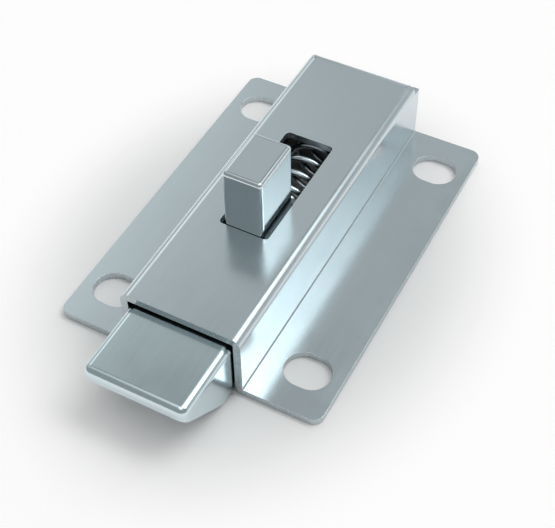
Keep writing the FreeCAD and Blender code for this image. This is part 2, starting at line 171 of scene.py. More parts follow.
def mesh_object(name: str, points: np.ndarray, quads: np.ndarray,
                marks: dict[str, np.ndarray] | None = None, broad: bool = False) -> bpy.types.Object:
    """Makes a smooth object from arrays, with its doubled points merged, so that seams and poles close.

    Args:
        name: name of the new object.
        points: array of positions in metres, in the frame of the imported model.
        quads: array of quads that point outwards.
        marks: numbers or vectors for each point, kept as attributes with these names.
        broad: whether the shading follows the broad faces.

    Returns:
        The new object, linked to the scene at the origin.
    """
    keys = np.round(points / MERGE_DISTANCE).astype(np.int64)
    _, first_of, shared = np.unique(keys, axis=0, return_index=True, return_inverse=True)
    merged = points[first_of]
    corners = shared.reshape(-1)[quads]
    normals = broad_normals(merged, corners) if broad else None
    keep = corners != np.roll(corners, 1, axis=1)
    sizes = keep.sum(axis=1)
    solid = sizes >= 3
    corners, keep, sizes = corners[solid], keep[solid], sizes[solid]
    mesh = bpy.data.meshes.new(name)
    mesh.vertices.add(len(merged))
    mesh.vertices.foreach_set("co", merged.astype(np.float32).ravel())
    mesh.loops.add(int(sizes.sum()))
    mesh.loops.foreach_set("vertex_index", corners[keep].astype(np.int32))
    mesh.polygons.add(len(sizes))
    starts = np.concatenate([[0], np.cumsum(sizes)[:-1]])
    mesh.polygons.foreach_set("loop_start", starts.astype(np.int32))
    mesh.polygons.foreach_set("use_smooth", np.ones(len(sizes), dtype=bool))
    mesh.update(calc_edges=True)
    if broad:
        mesh.normals_split_custom_set_from_vertices(normals)
    for label, values in (marks or {}).items():
        plain = values.ndim == 1
        layer = mesh.attributes.new(label, "FLOAT" if plain else "FLOAT_VECTOR", "POINT")
        layer.data.foreach_set("value" if plain else "vector", values[first_of].astype(np.float32).ravel())
    made = bpy.data.objects.new(name, mesh)
    bpy.context.scene.collection.objects.link(made)
    return made


def round_corners(corners: np.ndarray, steps: int = 5) -> np.ndarray:
    """Rounds the corners of a profile.

    Each corner c gives the curve (1-t)^2 a + 2t(1-t) c + t^2 b, where a and b lie on its two sides at
    the cut length from it. A cut of 0 keeps it sharp, and so does the profile's start and end.

    Args:
        corners: array of corners, one row each: radius, height and cut length.
        steps: number of points on each curve.

    Returns:
        The points of the rounded profile, in order.
    """
    profile, cut = corners[:, :2], corners[:, 2:]
    start = profile + cut * unit(np.roll(profile, 1, axis=0) - profile)
    end = profile + cut * unit(np.roll(profile, -1, axis=0) - profile)
    t = np.linspace(0, 1, steps)[None, :, None]
    curve = (1 - t) ** 2 * start[:, None] + 2 * t * (1 - t) * profile[:, None] + t**2 * end[:, None]
    points = curve.reshape(-1, 2)
    moved = np.linalg.norm(np.diff(points, axis=0), axis=1) > SAME_POINT
    return points[np.concatenate([[True], moved])]


def lathe(profile: np.ndarray, axis_point: np.ndarray, along: np.ndarray, segments: int) -> tuple:
    """Turns a profile about an axis: each point is axis + height along it + radius times the turned arm.

    Args:
        profile: array of (radius, height) pairs, from one pole to the other.
        axis_point: point on the axis at height zero.
        along: direction of the axis.
        segments: number of steps round the axis.

    Returns:
        The points and the quads of the closed surface.
    """
    along = unit(np.asarray(along, float))
    nearly_upright = abs(along[2]) > 0.9
    arm = unit(np.cross(along, [1.0, 0.0, 0.0] if nearly_upright else [0.0, 0.0, 1.0]))
    other = np.cross(along, arm)
    _, cos, sin = circle(segments)
    ring = cos[:, None] * arm + sin[:, None] * other
    points = axis_point + profile[:, None, 0:1] * ring + profile[:, None, 1:2] * along
    return points.reshape(-1, 3), grid_quads(len(profile), segments, close_columns=True)


# Shading: fields, the shared effects as node groups, and the finishes


@dataclass(frozen=True)
class Field:
    """An output of a node, whose value varies over a surface or the dome.

    Sums, differences, products and quotients with numbers or other fields add Math nodes to its tree.
    """

    socket: Socket

    def math(self, operation: str, *values: object) -> Field:
        """Adds a Math node with these values to the field's tree."""
        return self.node("ShaderNodeMath", {"operation": operation}, dict(enumerate(values)))["Value"]

    def vector_math(self, operation: str, *values: object) -> Outputs:
        """Adds a Vector Math node with these values to the field's tree."""
        return self.node("ShaderNodeVectorMath", {"operation": operation}, dict(enumerate(values)))

    def node(self, kind: str, settings: dict, sockets: dict) -> Outputs:
        """Adds a node to the field's own tree, as add_node does."""
        return add_node(self.socket.id_data, kind, settings, sockets)

    def __add__(self, other: object) -> Field:
        """Adds a number or field."""
        return self.math("ADD", self, other)

    def __sub__(self, other: object) -> Field:
        """Takes a number or field away."""
        return self.math("SUBTRACT", self, other)

    def __rsub__(self, other: object) -> Field:
        """Takes the field away from a number."""
        return self.math("SUBTRACT", other, self)

    def __mul__(self, other: object) -> Field:
        """Multiplies by a number or field."""
        return self.math("MULTIPLY", self, other)

    def __truediv__(self, other: object) -> Field:
        """Divides by a number or field."""
        return self.math("DIVIDE", self, other)

    def most(self, *others: object) -> Field:
        """Gives the largest of the field and the others."""
        largest = self
        for other in others:
            largest = self.math("MAXIMUM", largest, other)
        return largest

    def blend(self, low: float, high: float, to_low: float = 0.0, to_high: float = 1.0) -> Field:
        """Maps the field smoothly, so that low and what is below it gives to_low, and high to_high."""
        limits = {"From Min": low, "From Max": high, "To Min": to_low, "To Max": to_high}
        return self.node("ShaderNodeMapRange", {"interpolation_type": "SMOOTHSTEP"},
                         {"Value": self, **limits})["Result"]

    def less(self, other: object) -> Field:
        """Takes another vector away from the field, a vector."""
        return self.vector_math("SUBTRACT", self, other)["Vector"]

    def stretch(self, factors: object) -> Field:
        """Multiplies the field, a vector, by factors along the axes."""
        return self.vector_math("MULTIPLY", self, factors)["Vector"]

    def dot(self, other: object) -> Field:
        """Multiplies the field, a vector, by another to a number."""
        return self.vector_math("DOT_PRODUCT", self, other)["Value"]

    def length(self) -> Field:
        """Gives the length of the field, a vector."""
        return self.vector_math("LENGTH", self)["Value"]

    def mark(self, name: str, output: str = "Fac") -> Field:
        """Gives an attribute of the mesh at the same place."""
        return self.node("ShaderNodeAttribute", {"attribute_name": name}, {})[output]

    def tinted(self, colour: object) -> Field:
        """Scales a colour or vector by the field."""
        return self.node("ShaderNodeVectorMath", {"operation": "SCALE"}, {0: colour, "Scale": self})["Vector"]

    def split(self) -> Outputs:
        """Gives the X, Y and Z of the field, a vector."""
        return self.node("ShaderNodeSeparateXYZ", {}, {"Vector": self})

    def noise(self, scale: object, detail: float, **sockets: float) -> Field:
        """Gives the noise at the place that the field holds, where more inputs can be given by name."""
        sockets = {"Vector": self, "Scale": scale, "Detail": detail, **sockets}
        return self.node("ShaderNodeTexNoise", {}, sockets)["Fac"]


class Outputs:
    """The outputs of a node, each a field."""

    def __init__(self, node: bpy.types.Node) -> None:
        """Keeps the node."""
        self.node = node

    def __getitem__(self, name: str) -> Field:
        """Gives the output with this name."""
        return Field(self.node.outputs[name])


def add_node(tree: Tree, kind: str, settings: dict | None = None, sockets: dict | None = None) -> Outputs:
    """Adds a node, sets its options, and sets or links its inputs.

    Args:
        tree: node tree that gets the node.
        kind: type of the node.
        settings: options by name.
        sockets: inputs by name or number, each a plain value or a field.

    Returns:
        The outputs of the new node.
    """
    node = tree.nodes.new(kind)
    for name, value in (settings or {}).items():
        setattr(node, name, value)
    for name, value in (sockets or {}).items():
        if isinstance(value, Field):
            tree.links.new(value.socket, node.inputs[name])
        else:
            node.inputs[name].default_value = value
    return Outputs(node)


class Group:
    """A shader node group under construction, which reads a place called Vector and gives numbers."""

    def __init__(self, name: str, inputs: dict[str, float | Triple]) -> None:
        """Starts the group.

        Args:
            name: name of the group.
            inputs: starting values of its other inputs, by name.
        """
        self.tree = bpy.data.node_groups.new(name, "ShaderNodeTree")
        self.read = add_node(self.tree, "NodeGroupInput")
        self.given = self.tree.nodes.new("NodeGroupOutput")
        for label, value in {"Vector": (0.0, 0.0, 0.0), **inputs}.items():
            kind = "NodeSocketVector" if isinstance(value, tuple) else "NodeSocketFloat"
            self.tree.interface.new_socket(label, in_out="INPUT", socket_type=kind).default_value = value

    def __getitem__(self, name: str) -> Field:
        """Gives what the input with this name holds."""
        return self.read[name]

    def give(self, **fields: Field) -> Tree:
        """Adds outputs with these names, links the fields to them, and gives the finished group."""
        for name, field in fields.items():
            self.tree.interface.new_socket(name, in_out="OUTPUT", socket_type="NodeSocketFloat")
            self.tree.links.new(field.socket, self.given.inputs[name])
        return self.tree


def make_grain_group() -> Tree:
    """Rolling or grinding lines: two noises, long along one axis and fine across it."""
    group = Group("drawn_grain", {"Stretch": (1.0, 1.0, 1.0), "Fineness": 4000.0})
    drawn = group["Vector"].stretch(group["Stretch"])
    fine = drawn.noise(group["Fineness"], detail=6.0, Roughness=0.62)
    coarser = 0.23
    broad = drawn.noise(group["Fineness"] * coarser, detail=3.0)
    return group.give(Height=fine, Tone=(fine + broad) * 0.5)


def make_handling_group() -> Tree:
    """Faint clouding from hands and rags: slow noise shaped to soft patches, from 0 to 1."""
    group = Group("handling_haze", {"Size": 90.0})
    slow = group["Vector"].noise(group["Size"], detail=4.0, Roughness=0.55, Distortion=0.8)
    return group.give(Mask=slow.blend(0.38, 0.68))


def make_hairline_group() -> Tree:
    """Sparse hairline scratches: thin crests of two slanted, strongly drawn out noises."""
    group = Group("hairlines", {"Density": 0.5})
    crests = []
    line_width, gap_scale = 0.012, 0.12
    # Each set of scratches has its slant in radians, its factors along the axes and its scale.
    for angle, stretch, scale in ((0.35, (1.0, 0.03, 1.0), 1900.0), (-1.1, (1.0, 0.04, 1.0), 1500.0)):
        turned = add_node(group.tree, "ShaderNodeVectorRotate", {"rotation_type": "Z_AXIS"},
                          {"Vector": group["Vector"], "Angle": angle})["Vector"]
        off_middle = turned.stretch(stretch).noise(scale, detail=1.0) - 0.5
        line = off_middle.math("ABSOLUTE", off_middle).blend(0.0, line_width, 1.0, 0.0)
        crests.append(line * turned.noise(scale * gap_scale, detail=0.0).blend(0.6, 0.7))
    return group.give(Mask=crests[0].most(crests[1]) * group["Density"])


def make_corner_group() -> Tree:
    """Worn edges of a block: how near a point is to where two of the block's faces meet, from 0 to 1.

    The distances inside the three pairs of faces are sorted, and the second smallest is the distance
    to the nearest edge.
    """
    group = Group("block_edges", {"Centre": (0.0, 0.0, 0.0), "Half Size": (0.01, 0.01, 0.01), "Reach": 0.001})
    offset = group["Vector"].less(group["Centre"])
    inside = group["Half Size"].less(offset.vector_math("ABSOLUTE", offset)["Vector"]).split()
    low_xy = offset.math("MINIMUM", inside["X"], inside["Y"])
    high_xy = offset.math("MAXIMUM", inside["X"], inside["Y"])
    second = low_xy.most(offset.math("MINIMUM", high_xy, inside["Z"]))
    return group.give(Mask=(second / group["Reach"]).blend(0.0, 1.0, 1.0, 0.0))


def make_fleck_group() -> Tree:
    """Satin fleck: the fine even sparkle of pickled and rolled metal, from coarse cells and finer noise.

    The coarse cells give the tone, and both add up to the height.
    """
    group = Group("satin_fleck", {"Scale": 5000.0})
    coarse = add_node(group.tree, "ShaderNodeTexVoronoi", {"feature": "SMOOTH_F1"}, {
        "Vector": group["Vector"], "Scale": group["Scale"], "Smoothness": 0.6})
    finer = 2.3
    fine = group["Vector"].noise(group["Scale"] * finer, detail=2.0)
    return group.give(Height=coarse["Distance"] + fine, Tone=coarse["Color"].split()["X"])


def make_turning_group() -> Tree:
    """Lathe marks: fine rings round an axis, from noise read at (radius, height along the axis).

    The height is offset . axis, and the radius is the length of what is left of the offset.
    """
    group = Group("lathe_marks", {"Centre": (0.0, 0.0, 0.0), "Axis": (0.0, 0.0, 1.0), "Fineness": 9000.0})
    offset = group["Vector"].less(group["Centre"])
    along = offset.dot(group["Axis"])
    radius = offset.less(along.tinted(group["Axis"])).length()
    place = add_node(group.tree, "ShaderNodeCombineXYZ", sockets={"X": radius, "Y": along})["Vector"]
    rings = place.noise(group["Fineness"], detail=3.0, Roughness=0.6)
    coarser = 0.15
    chatter = offset.noise(group["Fineness"] * coarser, detail=2.0)
    return group.give(Height=rings, Tone=(rings + chatter) * 0.5)


class Effect(Enum):
    """The shared surface effects, each a node group built once."""

    GRAIN = "drawn_grain"
    HANDLING = "handling_haze"
    HAIRLINES = "hairlines"
    CORNERS = "block_edges"
    FLECK = "satin_fleck"
    TURNING = "lathe_marks"

    def at(self, place: Field, values: dict) -> Outputs:
        """Adds the effect as it is at a place, with its own values, and gives its outputs."""
        group = bpy.data.node_groups.get(self.value) or EFFECT_MAKERS[self]()
        return place.node("ShaderNodeGroup", {"node_tree": group}, {"Vector": place, **values})


EFFECT_MAKERS = {
    Effect.GRAIN: make_grain_group,
    Effect.HANDLING: make_handling_group,
    Effect.HAIRLINES: make_hairline_group,
    Effect.CORNERS: make_corner_group,
    Effect.FLECK: make_fleck_group,
    Effect.TURNING: make_turning_group,
}


class Place(Enum):
    """Where a finish reads its pattern: in space, on the flat sheet, or along the wire."""

    SPACE = "space"
    SHEET = "sheet_place"
    WIRE = "wire_place"

    def read(self, space: Field) -> Field:
        """Gives the place, where the place in space is known."""
        return space if self is Place.SPACE else space.mark(self.value, "Vector")


@dataclass(frozen=True)
class Steel:
    """A stainless finish: bare metal with fine grain, fleck, haze from handling and hairline scratches.

    Attributes:
        name: name of the material.
        tint: linear base colour of the clean metal.
        roughness: roughness of the clean metal.
        haze: added roughness in the handled patches.
        place: where the pattern is read.
        stretch: factors on the place, small along the grain.
        fineness: scale of the grain across it.
        grain_tone: how far the grain changes the colour.
        grain_rough: how far the grain changes the roughness.
        fleck_scale: scale of the satin fleck.
        fleck_tone: how far the fleck changes the colour.
        relief: height of grain and fleck in metres.
        hairline_density: strength of the scratches from 0 to 1.
        burnish: how much brighter worn edges are, where a number below 0 dulls them.
        edge_rough: added roughness on worn and formed metal.
        shelter_loss: share of its brightness taken from the metal inside the channel, as painted shade.
        shelter_rough: added roughness of the unpolished metal there.
        haze_loss: brightness lost in the handled patches.
        fleck_relief: height of the fleck against that of the grain.
        scratch_rough: added roughness in a scratch.
        scratch_depth: depth of a scratch against the height of the grain.
        tones: values of the grain's tone that count as its darkest and its brightest.
    """

    name: str
    tint: Triple = (0.622, 0.687, 0.716)
    roughness: float = 0.19
    haze: float = 0.04
    place: Place = Place.SPACE
    stretch: Triple = (1.0, 0.02, 1.0)
    fineness: float = 6000.0
    grain_tone: float = 0.012
    grain_rough: float = 0.03
    fleck_scale: float = 6500.0
    fleck_tone: float = 0.012
    relief: float = 1.6e-7
    hairline_density: float = 0.3
    burnish: float = 0.08
    edge_rough: float = 0.05
    shelter_loss: float = 0.72
    shelter_rough: float = 0.15
    haze_loss: float = 0.02
    fleck_relief: float = 0.5
    scratch_rough: float = 0.12
    scratch_depth: float = 1.2
    tones: Pair = (0.3, 0.7)

    def build(self) -> bpy.types.Material:
        """Makes the material, with its node tree complete."""
        material = bpy.data.materials.new(self.name)
        material.use_nodes = True
        tree = material.node_tree
        tree.nodes.clear()
        space = add_node(tree, "ShaderNodeTexCoord")["Object"]
        place = self.place.read(space)
        height, tone = self.grain(place)
        fleck = Effect.FLECK.at(place, {"Scale": self.fleck_scale})
        haze = Effect.HANDLING.at(space, {})["Mask"]
        lines = Effect.HAIRLINES.at(place, {"Density": self.hairline_density})["Mask"]
        worn, formed = self.wear(space)
        inside = self.shelter(space)

        level = tone.blend(*self.tones, 1.0 - self.grain_tone, 1.0 + self.grain_tone)
        level *= fleck["Tone"].blend(0.0, 1.0, 1.0 - self.fleck_tone, 1.0 + self.fleck_tone)
        level = level - haze * self.haze_loss + worn * self.burnish
        # Painted shade: the colour of the metal inside the channel is darkened.
        level *= 1.0 - inside * self.shelter_loss

        swing = self.grain_rough / 2
        rough = tone.blend(*self.tones, self.roughness - swing, self.roughness + swing)
        rough = rough + haze * self.haze + lines * self.scratch_rough
        rough = rough + formed * self.edge_rough + inside * self.shelter_rough

        relief = height + fleck["Height"] * self.fleck_relief - lines * self.scratch_depth
        bump = add_node(tree, "ShaderNodeBump", sockets={
            "Strength": 1.0, "Distance": self.relief, "Height": relief})
        shader = add_node(tree, "ShaderNodeBsdfPrincipled", sockets={
            "Base Color": level.tinted(self.tint), "Metallic": 1.0, "Roughness": rough,
            "Normal": bump["Normal"]})
        add_node(tree, "ShaderNodeOutputMaterial", sockets={"Surface": shader["BSDF"]})
        log.info("finish %s built", self.name)
        return material

    def grain(self, place: Field) -> tuple[Field, Field]:
        """Adds the lines of rolling, grinding or drawing.

        Args:
            place: where the pattern is read.

        Returns:
            The grain's height and tone.
        """
        lines = Effect.GRAIN.at(place, {"Stretch": self.stretch, "Fineness": self.fineness})
        return lines["Height"], lines["Tone"]

    def wear(self, space: Field) -> tuple[Field | float, Field | float]:
        """Gives the masks of worn edges and of formed metal, which a plain finish has none of.

        Args:
            space: place in space.

        Returns:
            The two masks, from 0 to 1.
        """
        return 0.0, 0.0

    def shelter(self, space: Field) -> Field | float:
        """Gives the mask of painted shade and added roughness inside the channel, which a plain finish has
        none of.
        """
        return 0.0


@dataclass(frozen=True)
class SheetSteel(Steel):
    """The finish of rolled sheet: its grain follows the flat blank round the folds.

    Sheared edges are duller and show streaks through the thickness, the outside of a bend is a little
    rougher, where the metal was stretched, and the inner side is left rough as it was rolled and is
    darkened with painted shade.

    Attributes:
        streak_stretch: factors on the place in the sheet, small along the streaks.
        streak_scale: scale of the streaks across them.
        streak_range: values of the noise that give the faintest and the fullest wear.
        streak_least: wear that is left where it is faintest.
        bend_share: roughness of a bend against that of a cut edge.
        inner_depths: depths in the sheet between which its inner side, rough and with painted shade, begins.
    """

    place: Place = Place.SHEET
    burnish: float = -0.15
    edge_rough: float = 0.1
    streak_stretch: Triple = (1.0, 1.0, 0.05)
    streak_scale: float = 9000.0
    streak_range: Pair = (0.35, 0.65)
    streak_least: float = 0.55
    bend_share: float = 0.2
    inner_depths: Pair = (0.0010, 0.0014)

    def wear(self, space: Field) -> tuple[Field, Field]:
        """Reads the marks of cut edges and bends, and streaks the cut edges across the sheet."""
        across = space.mark("sheet_place", "Vector").stretch(self.streak_stretch)
        streak = across.noise(self.streak_scale, detail=3.0).blend(*self.streak_range, self.streak_least, 1.0)
        worn = space.mark("cut_edge") * streak
        return worn, worn.most(space.mark("bent") * self.bend_share)

    def shelter(self, space: Field) -> Field:
        """Marks the inner side for painted shade and roughness, where the depth in the sheet is largest, but
        not the cut edges.
        """
        depth = space.mark("sheet_place", "Vector").split()["Z"]
        return depth.blend(*self.inner_depths) * (1.0 - space.mark("cut_edge"))


@dataclass(frozen=True)
class BarSteel(Steel):
    """The finish of ground bar: its edges are burnished by use.

    Attributes:
        low: lowest corner of the block whose edges are worn, in metres.
        high: highest corner of that block.
        reach: width of the worn band at an edge.
        sheltered_from: place along Y behind which the bar never leaves the channel, and its colour is
            darkened as painted shade.
        shelter_blur: distance over which the finish changes, before that place and behind it.
        patch_scale: scale of the noise that breaks up the worn bands.
        least_worn: wear that is left between its patches.
    """

    low: Triple = (-0.01, -0.01, -0.01)
    high: Triple = (0.01, 0.01, 0.01)
    reach: float = 0.0009
    sheltered_from: float = 1.0
    shelter_blur: float = 0.0004
    patch_scale: float = 700.0
    least_worn: float = 0.45
    hairline_density: float = 0.4

    def wear(self, space: Field) -> tuple[Field, float]:
        """Marks the block's edges, broken up by slow noise, as worn."""
        centre = tuple((a + b) / 2 for a, b in zip(self.low, self.high))
        half = tuple((b - a) / 2 for a, b in zip(self.low, self.high))
        edge = Effect.CORNERS.at(space, {"Centre": centre, "Half Size": half, "Reach": self.reach})["Mask"]
        patches = Effect.HANDLING.at(space, {"Size": self.patch_scale})["Mask"]
        return edge * patches.blend(0.0, 1.0, self.least_worn, 1.0), 0.0

    def shelter(self, space: Field) -> Field:
        """Marks the part of the bar behind the place where it enters the channel, for painted shade and
        roughness.
        """
        start, blur = self.sheltered_from, self.shelter_blur
        return space.split()["Y"].blend(start - blur, start + blur)


@dataclass(frozen=True)
class TurnedSteel(Steel):
    """The finish of lathe work: rings round the part's own axis.

    Attributes:
        centre: point on the axis, in metres.
        axis: direction of the axis.
    """

    centre: Triple = (0.0, 0.0, 0.0)
    axis: Triple = (0.0, 0.0, 1.0)
    relief: float = 8.0e-7

    def grain(self, place: Field) -> tuple[Field, Field]:
        """Adds the lathe marks."""
        marks = Effect.TURNING.at(place, {
            "Centre": self.centre, "Axis": self.axis, "Fineness": self.fineness})
        return marks["Height"], marks["Tone"]


@dataclass(frozen=True)
class Glow:
    """A soft round patch of light on the dome, placed by its bearing from the rear and its rise.

    Attributes:
        bearing: degrees from +Y towards +X.
        rise: degrees above the floor.
        level: brightness that it adds at its middle, where 1 is white.
        core: degrees from its middle to where it starts to fade.
        rim: degrees from its middle to where it ends.
    """

    bearing: float
    rise: float
    level: float
    core: float = 2.0
    rim: float = 13.0

    def shine(self, direction: Field) -> Field:
        """Gives the light that it adds in a direction."""
        bearing, rise, core, rim = (math.radians(x) for x in (self.bearing, self.rise, self.core, self.rim))
        middle = (math.sin(bearing) * math.cos(rise), math.cos(bearing) * math.cos(rise), math.sin(rise))
        return direction.dot(middle).blend(math.cos(rim), math.cos(core), 0.0, self.level)


def dome_heights(rises: Pair) -> list[float]:
    """Turns degrees above the floor into heights on a dome of radius one."""
    return [math.sin(math.radians(rise)) for rise in rises]


@dataclass
class Studio:
    """The pale floor, the dome of soft light with its glows, and the camera.

    Attributes:
        floor_gap: distance of the floor below the mounting plane.
        floor_squeeze: factors on a place on the floor before its distance from the middle is taken.
        floor_shade: share of its brightness that the floor has at its middle, as painted shade round the
            object.
        floor_reach: distances from the middle between which the floor pales.
        backdrop_level: light that the floor adds to itself where it is pale.
        skyline_rise: degrees above the floor between which the low band fades out.
        skyline_rear: directions along Y between which the low band fades in.
        horizon_rise: degrees above the floor between which mirrored white gives way to the dome.
        horizon_level: brightness of the white that the camera sees behind the floor.
    """

    floor_side: float = 6.0
    floor_gap: float = 2e-5
    floor_roughness: float = 0.9
    floor_specular: float = 0.2
    floor_tint: Triple = (1.0, 0.965, 0.955)
    floor_middle: Triple = (0.0, -0.008, 0.0)
    floor_shade: float = 0.8
    floor_squeeze: Triple = (1.0, 0.8, 0.0)
    floor_reach: Pair = (0.026, 0.052)
    backdrop_tint: Triple = (1.0, 0.8, 0.8)
    backdrop_level: float = 0.13
    dome_tint: Triple = (0.945, 1.0, 1.01)
    dome_level: float = 0.35
    skyline_level: float = 0.25
    skyline_rise: Pair = (16.0, 32.0)
    skyline_rear: Pair = (-0.2, 0.4)
    horizon_rise: Pair = (1.0, 5.0)
    horizon_level: float = 0.98
    glows: tuple[Glow, ...] = (
        # Low behind: lifts the upright rear faces and the far end of the flange.
        Glow(bearing=18.0, rise=20.0, level=1.8),
        # Rear left: the folds and rounded edges on the left, and the level of the flat tops.
        Glow(bearing=-6.0, rise=32.0, level=1.0),
        Glow(bearing=-42.0, rise=32.0, level=0.9),
        Glow(bearing=-66.0, rise=32.0, level=0.35),
        Glow(bearing=-54.0, rise=44.0, level=0.7),
        Glow(bearing=-30.0, rise=44.0, level=0.22),
        # Rear right: the white strip on the wall and flange, and the lines along the right edges.
        Glow(bearing=42.0, rise=44.0, level=0.55),
        Glow(bearing=61.0, rise=45.0, level=1.6),
        Glow(bearing=30.0, rise=54.0, level=1.3),
        Glow(bearing=42.0, rise=56.0, level=0.75),
        Glow(bearing=60.0, rise=56.0, level=4.0),
        # High at the rear: the bright side of the thumb piece and the front half of the strip.
        Glow(bearing=0.0, rise=68.0, level=1.0, rim=14.0),
        Glow(bearing=30.0, rise=68.0, level=3.0, rim=14.0),
        Glow(bearing=60.0, rise=68.0, level=1.2, rim=14.0),
        # Left, and high in front: soft fill for the floor, the nose and the front edges.
        Glow(bearing=-90.0, rise=74.0, level=0.45, core=3.0, rim=14.0),
        Glow(bearing=-90.0, rise=45.0, level=0.25, core=5.0, rim=24.0),
        Glow(bearing=165.0, rise=78.0, level=1.05, core=8.0, rim=29.0),
    )
    focal_length: float = 77.06
    sensor_width: float = 36.0
    clip: Pair = (0.01, 50.0)
    camera_bearing: float = 28.7198
    camera_rise: float = 49.1453
    camera_roll: float = -0.9699
    camera_distance: float = 0.22927
    camera_aim: Triple = (0.00307, -0.00771, 0.0)

    def build(self) -> None:
        """Makes the floor, the light and the camera."""
        self.add_floor()
        self.add_dome()
        self.add_camera()

    def add_floor(self) -> None:
        """Lays the matt floor, a square with its top just below the mounting plane.

        Its colour is darkened near the middle, painted shade round the object, and pales away from it;
        there it also shines a little for camera, glossy and transmission rays, as a white backdrop does.
        """
        corners = self.floor_side / 2 * np.array([[-1.0, -1.0], [1.0, -1.0], [1.0, 1.0], [-1.0, 1.0]])
        points = np.column_stack([corners, np.full(4, -self.floor_gap)])
        floor = mesh_object("studio_floor", points, np.array([[0, 1, 2, 3]]))
        material = bpy.data.materials.new("floor_card")
        material.use_nodes = True
        tree = material.node_tree
        space = add_node(tree, "ShaderNodeTexCoord")["Object"]
        away = space.less(self.floor_middle).stretch(self.floor_squeeze).length()
        # Painted shade: the floor's colour is darker near the object.
        level = away.blend(*self.floor_reach, self.floor_shade, 1.0)
        rays = add_node(tree, "ShaderNodeLightPath")
        seen = rays["Is Camera Ray"].most(rays["Is Glossy Ray"], rays["Is Transmission Ray"])
        white = seen * away.blend(*self.floor_reach, 0.0, self.backdrop_level)
        shader = tree.nodes["Principled BSDF"].inputs
        tree.links.new(level.tinted(self.floor_tint).socket, shader["Base Color"])
        tree.links.new(white.socket, shader["Emission Strength"])
        shader["Emission Color"].default_value = (*self.backdrop_tint, 1.0)
        shader["Roughness"].default_value = self.floor_roughness
        shader["Specular IOR Level"].default_value = self.floor_specular
        floor.data.materials.append(material)
        log.info("floor laid")

    def add_dome(self) -> None:
        """Lights the scene from a dome of one level, to which a low band at the rear and the glows add.

        The camera sees the dome as a white backdrop, and so do glossy and transmission rays near the
        horizon, where the floor ends.
        """
        world = bpy.data.worlds.new("studio_dome")
        world.use_nodes = True
        tree = world.node_tree
        tree.nodes.clear()
        direction = add_node(tree, "ShaderNodeTexCoord")["Generated"]
        parts = direction.split()
        band = parts["Z"].blend(*dome_heights(self.skyline_rise), self.skyline_level, 0.0)
        level = band * parts["Y"].blend(*self.skyline_rear) + self.dome_level
        for glow in self.glows:
            level = level + glow.shine(direction)
        light = add_node(tree, "ShaderNodeBackground", sockets={
            "Color": (*self.dome_tint, 1.0), "Strength": level})
        white = add_node(tree, "ShaderNodeBackground", sockets={
            "Color": (1.0, 1.0, 1.0, 1.0), "Strength": self.horizon_level})
        rays = add_node(tree, "ShaderNodeLightPath")
        near = parts["Z"].blend(*dome_heights(self.horizon_rise), 1.0, 0.0)
        seen = rays["Is Camera Ray"].most(rays["Is Glossy Ray"].most(rays["Is Transmission Ray"]) * near)
        mixed = add_node(tree, "ShaderNodeMixShader", sockets={
            0: seen, 1: light["Background"], 2: white["Background"]})
        add_node(tree, "ShaderNodeOutputWorld", sockets={"Surface": mixed["Shader"]})
        bpy.context.scene.world = world
        log.info("dome of light made")

    def add_camera(self) -> None:
        """Sets the camera at the photograph's viewing angle.

        The camera looks back along the direction given by its bearing and rise, and its right and up
        axes are turned by the roll.
        """
        angles = (self.camera_bearing, self.camera_rise, self.camera_roll)
        bearing, rise, roll = (math.radians(angle) for angle in angles)
        flat = math.cos(rise)
        back = Vector((math.sin(bearing) * flat, -math.cos(bearing) * flat, math.sin(rise)))
        level = Vector((math.cos(bearing), math.sin(bearing), 0.0))
        upright = back.cross(level)
        right = level * math.cos(roll) + upright * math.sin(roll)
        up = upright * math.cos(roll) - level * math.sin(roll)
        data = bpy.data.cameras.new("camera")
        data.lens = self.focal_length
        data.sensor_width = self.sensor_width
        data.clip_start, data.clip_end = self.clip
        camera = bpy.data.objects.new("camera", data)
        axes = Matrix((right, up, back)).transposed().to_4x4()
        camera.matrix_world = Matrix.Translation(back * self.camera_distance + Vector(self.camera_aim)) @ axes
        bpy.context.scene.collection.objects.link(camera)
        bpy.context.scene.camera = camera
        bpy.context.scene.view_settings.view_transform = "Standard"
        log.info("camera set")


